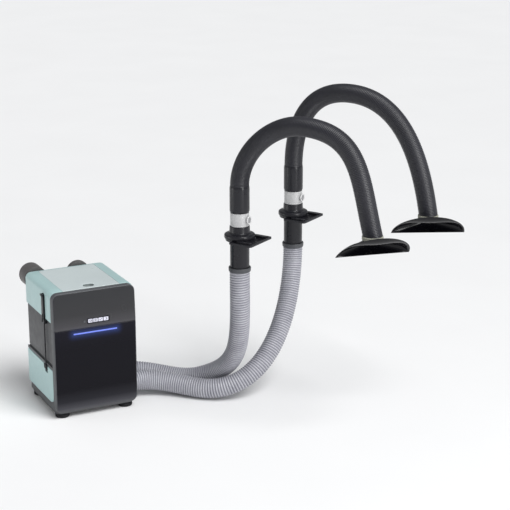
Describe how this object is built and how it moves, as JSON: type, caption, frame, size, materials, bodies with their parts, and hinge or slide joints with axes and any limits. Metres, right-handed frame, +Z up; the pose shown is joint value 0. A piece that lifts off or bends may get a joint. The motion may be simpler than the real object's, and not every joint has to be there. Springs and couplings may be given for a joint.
{
  "type": "solder fume extractor",
  "caption": "Floor-standing solder fume extractor: boxy filter unit, ribbed hoses to slotted bench brackets, and black bendable arms with dampers and wide half-moon hoods.",
  "frame": {"origin": "on the floor, under the centre of the box round the filter unit, brackets and arms, leaving out the hoses and their cuffs", "axes": "+Z up; the filter unit's front faces -Y and its hoses leave it on its +X side; the arms reach over the bench at 58 degrees from +X towards -Y"},
  "size_m": [1.596, 1.2122, 1.3169],
  "materials": {
    "graphite_metal": "satin powder coat",
    "graphite_plastic": "satin",
    "teal_shell": "semi-gloss",
    "pale_teal_shell": "semi-gloss",
    "black_gloss": "high gloss",
    "smoke_gloss": "gloss",
    "blue_light": "lit diffuser",
    "black_plastic": "satin",
    "steel_rod": "blackened",
    "aluminium": "satin",
    "motor_steel": "satin",
    "filter_felt": "felt",
    "filter_card": "card",
    "gasket_rubber": "foam rubber",
    "circuit_board": "solder mask",
    "foot_rubber": "moulded",
    "hose_grey": "ribbed, slightly see-through",
    "bracket_black": "satin",
    "white_plastic": "satin",
    "arm_rubber": "fine ribbed satin",
    "ring_beige": "knurled",
    "hood_black": "gloss"
  },
  "bodies": {
    "unit": {"base_tray": "graphite_metal", "foot_front_left": "foot_rubber", "foot_front_right": "foot_rubber", "foot_rear_left": "foot_rubber", "foot_rear_right": "foot_rubber", "chassis": "graphite_metal", "side_panel_left": "teal_shell", "side_panel_right": "teal_shell", "inlet_manifold": "graphite_plastic", "rear_panel": "graphite_metal", "mains_inlet": "black_plastic", "front_panel_lower": "black_gloss", "led_bar": "blue_light", "control_board": "circuit_board", "front_panel_upper": "smoke_gloss", "display_window": "black_gloss", "head_shell": "teal_shell", "top_panel": "pale_teal_shell", "exhaust_spigot_left": "graphite_plastic", "exhaust_spigot_right": "graphite_plastic", "turbine_housing": "aluminium", "motor": "motor_steel", "prefilter_mat": "filter_felt", "filter_cassette": "filter_card", "filter_gasket": "gasket_rubber", "latch_catch_left": "graphite_metal", "latch_catch_right": "graphite_metal", "hose_cuff_unit_1": "graphite_plastic", "hose_1": "hose_grey", "hose_cuff_bench_1": "graphite_plastic", "hose_cuff_unit_2": "graphite_plastic", "hose_2": "hose_grey", "hose_cuff_bench_2": "graphite_plastic", "bench_bracket_1": "bracket_black", "duct_flange_1": "bracket_black", "damper_collar_1": "white_plastic", "bench_bracket_2": "bracket_black", "duct_flange_2": "bracket_black", "damper_collar_2": "white_plastic"},
    "power_button": {"power_button": "smoke_gloss"},
    "rocker": {"rocker_switch": "black_plastic"},
    "fan_wheel": {"impeller": "aluminium"},
    "latch_lever_left": {"latch_lever_left": "black_plastic"},
    "latch_rod_left": {"latch_rod_left": "steel_rod"},
    "latch_lever_right": {"latch_lever_right": "black_plastic"},
    "latch_rod_right": {"latch_rod_right": "steel_rod"},
    "damper_1": {"damper_vane_1": "aluminium", "damper_knob_1": "white_plastic"},
    "arm_base_1": {"arm_cuff_1": "arm_rubber", "arm_lower_1": "arm_rubber"},
    "arm_end_1": {"arm_upper_1": "arm_rubber"},
    "hood_head_1": {"hood_ring_1": "ring_beige", "hood_1": "hood_black"},
    "damper_2": {"damper_vane_2": "aluminium", "damper_knob_2": "white_plastic"},
    "arm_base_2": {"arm_cuff_2": "arm_rubber", "arm_lower_2": "arm_rubber"},
    "arm_end_2": {"arm_upper_2": "arm_rubber"},
    "hood_head_2": {"hood_ring_2": "ring_beige", "hood_2": "hood_black"}
  },
  "joints": [
    {"name": "power_press", "type": "slide", "parent": "unit", "child": "power_button", "axis": [0, 0.9986, -0.0523], "range_m": [0, 0.0015], "stiffness_N_per_m": 400, "springref_m": -0.002},
    {"name": "mains_rocker", "type": "hinge", "parent": "unit", "child": "rocker", "pos_m": [-0.496, 0.52306, 0.098], "axis": [1, 0, 0], "range_deg": [-20, 0]},
    {"name": "fan_spin", "type": "hinge", "parent": "unit", "child": "fan_wheel", "pos_m": [-0.61, 0.34606, 0.456], "axis": [0, 0, 1], "continuous": true},
    {"name": "latch_left_open", "type": "hinge", "parent": "unit", "child": "latch_lever_left", "pos_m": [-0.788, 0.28106, 0.4], "axis": [0, -1, 0], "range_deg": [0, 110]},
    {"name": "latch_left_rod", "type": "hinge", "parent": "latch_lever_left", "child": "latch_rod_left", "pos_m": [-0.788, 0.28106, 0.412], "axis": [0, -1, 0], "range_deg": [-110, 0]},
    {"name": "latch_right_open", "type": "hinge", "parent": "unit", "child": "latch_lever_right", "pos_m": [-0.432, 0.28106, 0.4], "axis": [0, 1, 0], "range_deg": [0, 110]},
    {"name": "latch_right_rod", "type": "hinge", "parent": "latch_lever_right", "child": "latch_rod_right", "pos_m": [-0.432, 0.28106, 0.412], "axis": [0, 1, 0], "range_deg": [-110, 0]},
    {"name": "damper_1_turn", "type": "hinge", "parent": "unit", "child": "damper_1", "pos_m": [-0.04, -0.00194, 0.808], "axis": [0.5299, -0.848, 0], "range_deg": [0, 90]},
    {"name": "arm_1_swivel", "type": "hinge", "parent": "unit", "child": "arm_base_1", "pos_m": [-0.04, -0.00194, 0.89], "axis": [0, 0, 1], "range_deg": [-60, 4]},
    {"name": "arm_1_bend", "type": "hinge", "parent": "arm_base_1", "child": "arm_end_1", "pos_m": [0.11262, -0.24618, 1.217], "axis": [0.848, 0.5299, 0], "range_deg": [-14, 4]},
    {"name": "hood_1_swivel", "type": "hinge", "parent": "arm_end_1", "child": "hood_head_1", "pos_m": [0.27954, -0.51331, 0.825], "axis": [0, 0, 1], "range_deg": [-80, 80]},
    {"name": "damper_2_turn", "type": "hinge", "parent": "unit", "child": "damper_2", "pos_m": [0.325, 0.22606, 0.808], "axis": [0.5299, -0.848, 0], "range_deg": [0, 90]},
    {"name": "arm_2_swivel", "type": "hinge", "parent": "unit", "child": "arm_base_2", "pos_m": [0.325, 0.22606, 0.89], "axis": [0, 0, 1], "range_deg": [-4, 60]},
    {"name": "arm_2_bend", "type": "hinge", "parent": "arm_base_2", "child": "arm_end_2", "pos_m": [0.46437, 0.00302, 1.278], "axis": [0.848, 0.5299, 0], "range_deg": [-14, 4]},
    {"name": "hood_2_swivel", "type": "hinge", "parent": "arm_end_2", "child": "hood_head_2", "pos_m": [0.66097, -0.3116, 0.816], "axis": [0, 0, 1], "range_deg": [-80, 80]}
  ],
  "couplings": [
    {"joint": "latch_left_rod", "follows": "latch_left_open", "ratio": -1},
    {"joint": "latch_right_rod", "follows": "latch_right_open", "ratio": -1}
  ]
}
